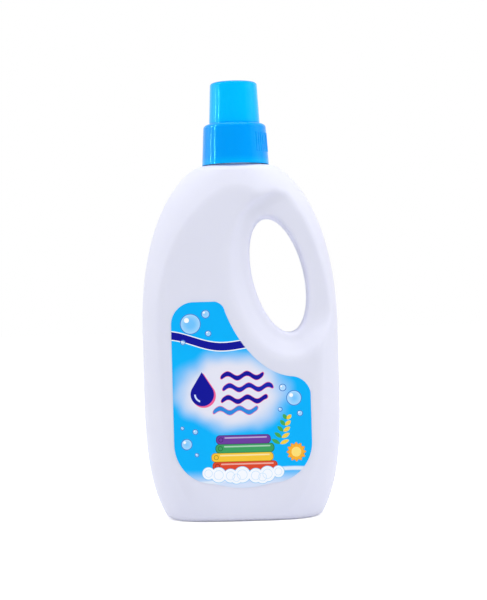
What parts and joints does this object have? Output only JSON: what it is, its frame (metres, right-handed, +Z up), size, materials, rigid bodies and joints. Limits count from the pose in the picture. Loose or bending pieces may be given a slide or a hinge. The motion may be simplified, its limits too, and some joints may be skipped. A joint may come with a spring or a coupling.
{
  "type": "laundry detergent bottle",
  "caption": "Flat-sided plastic detergent bottle with a through-handle, a pour spout, a two-tier screw cap and die-cut labels.",
  "frame": {"origin": "middle of the box's bottom face, where the bottle stands, on the neck's axis", "axes": "+Z up through the neck, -Y out of the front panel that carries the label, +X towards the handle"},
  "size_m": [0.1193, 0.0622, 0.265],
  "materials": {
    "bottle_white": "smooth white polyethylene",
    "spout_natural": "natural polyethylene",
    "seal_foam": "foamed polyethylene",
    "cap_blue": "slightly translucent blue polypropylene",
    "label_film": "printed film in fields of blue and white"
  },
  "bodies": {
    "bottle": {"bottle": "bottle_white", "pour_spout": "spout_natural", "front_label": "label_film", "back_label": "label_film"},
    "cap_seal": {"cap_seal": "seal_foam"},
    "cap": {"cap": "cap_blue"}
  },
  "joints": [
    {"name": "cap_rise", "type": "slide", "parent": "bottle", "child": "cap_seal", "axis": [0, 0, 1], "range_m": [0, 0.0063]},
    {"name": "cap_turn", "type": "hinge", "parent": "cap_seal", "child": "cap", "pos_m": [0, 0, 0.24], "axis": [0, 0, 1], "range_deg": [0, 540]}
  ],
  "couplings": [
    {"joint": "cap_rise", "follows": "cap_turn", "m_per_rad": 0.00066845}
  ]
}
